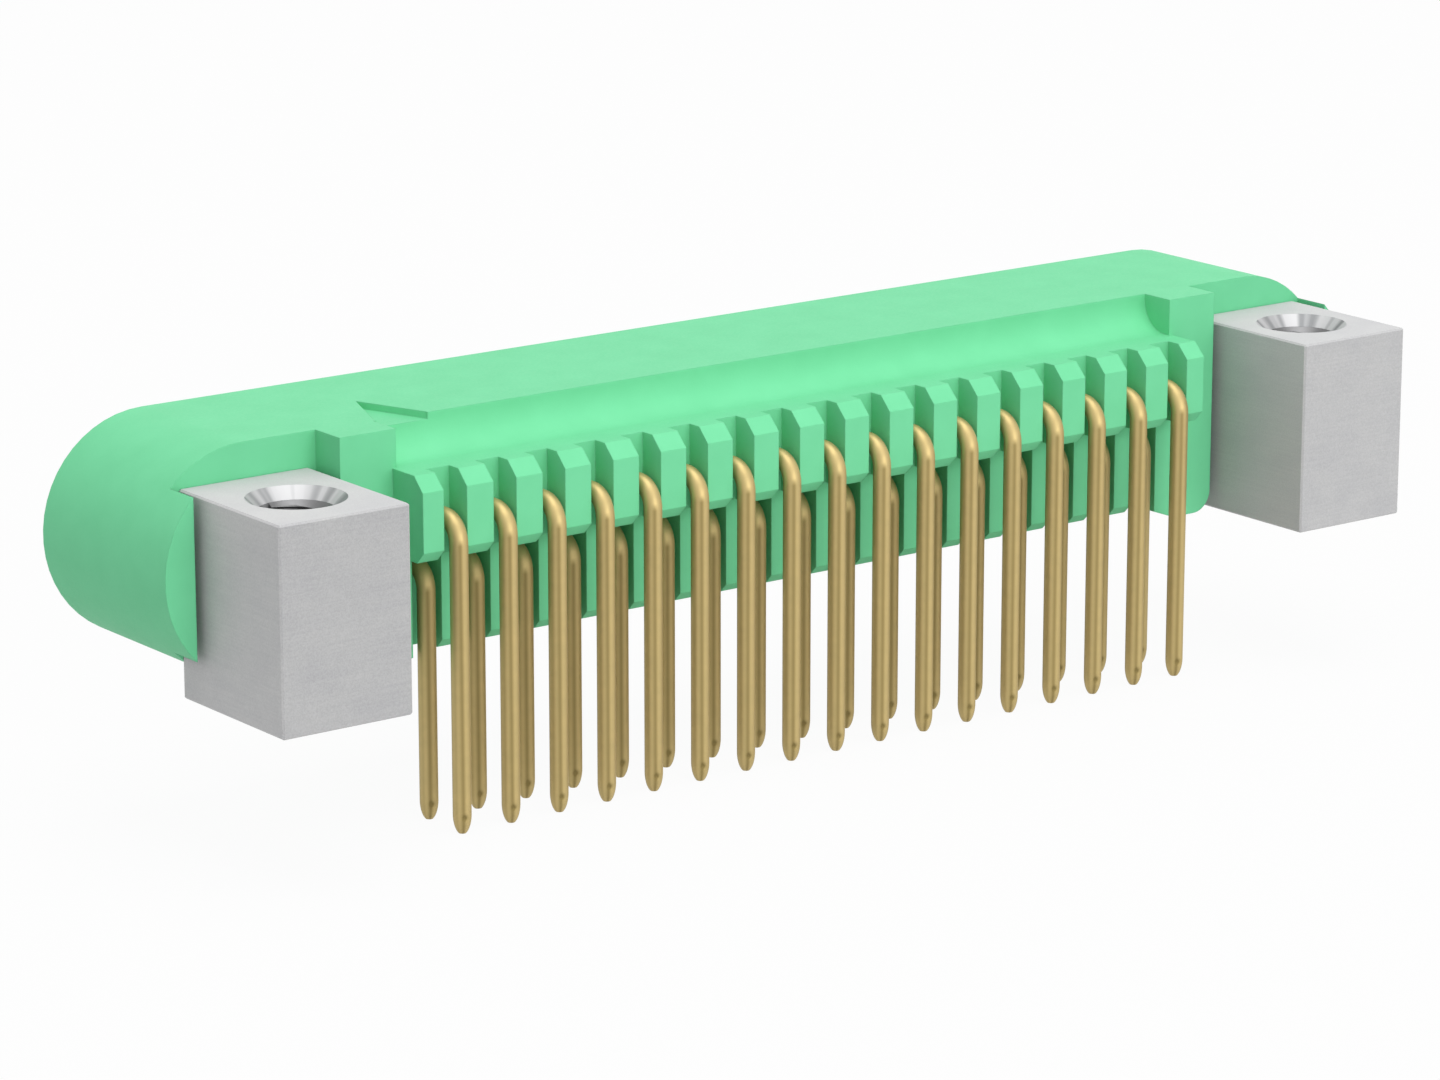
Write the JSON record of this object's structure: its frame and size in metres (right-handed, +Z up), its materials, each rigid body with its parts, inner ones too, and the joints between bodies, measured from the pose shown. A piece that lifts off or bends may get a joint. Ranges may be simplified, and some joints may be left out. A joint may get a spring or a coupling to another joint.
{
  "type": "wire-to-board connector",
  "caption": "Right-angle board connector: a green moulded shroud, rows of bent gold wire contacts, and a tapped metal mounting block with a jack socket at each end.",
  "frame": {"origin": "midway between the two board screw axes, in the plane of the board's top, on which the two mounting blocks stand", "axes": "+X along the contact rows, from the first contact to the last; +Y from the tails towards the mating face; +Z up, away from the board"},
  "size_m": [0.0326, 0.0079, 0.0086],
  "materials": {
    "housing_plastic": "moulded glass-filled thermoplastic, smooth satin green",
    "block_metal": "machined stainless steel, fine satin",
    "contact_gold": "drawn round copper-alloy wire, gold plated"
  },
  "bodies": {
    "root": {"housing": "housing_plastic", "mount_block_left": "block_metal", "mount_block_right": "block_metal", "contact_upper_01": "contact_gold", "contact_upper_02": "contact_gold", "contact_upper_03": "contact_gold", "contact_upper_04": "contact_gold", "contact_upper_05": "contact_gold", "contact_upper_06": "contact_gold", "contact_upper_07": "contact_gold", "contact_upper_08": "contact_gold", "contact_upper_09": "contact_gold", "contact_upper_10": "contact_gold", "contact_upper_11": "contact_gold", "contact_upper_12": "contact_gold", "contact_upper_13": "contact_gold", "contact_upper_14": "contact_gold", "contact_upper_15": "contact_gold", "contact_upper_16": "contact_gold", "contact_upper_17": "contact_gold", "contact_lower_01": "contact_gold", "contact_lower_02": "contact_gold", "contact_lower_03": "contact_gold", "contact_lower_04": "contact_gold", "contact_lower_05": "contact_gold", "contact_lower_06": "contact_gold", "contact_lower_07": "contact_gold", "contact_lower_08": "contact_gold", "contact_lower_09": "contact_gold", "contact_lower_10": "contact_gold", "contact_lower_11": "contact_gold", "contact_lower_12": "contact_gold", "contact_lower_13": "contact_gold", "contact_lower_14": "contact_gold", "contact_lower_15": "contact_gold", "contact_lower_16": "contact_gold", "contact_lower_17": "contact_gold"}
  },
  "joints": []
}
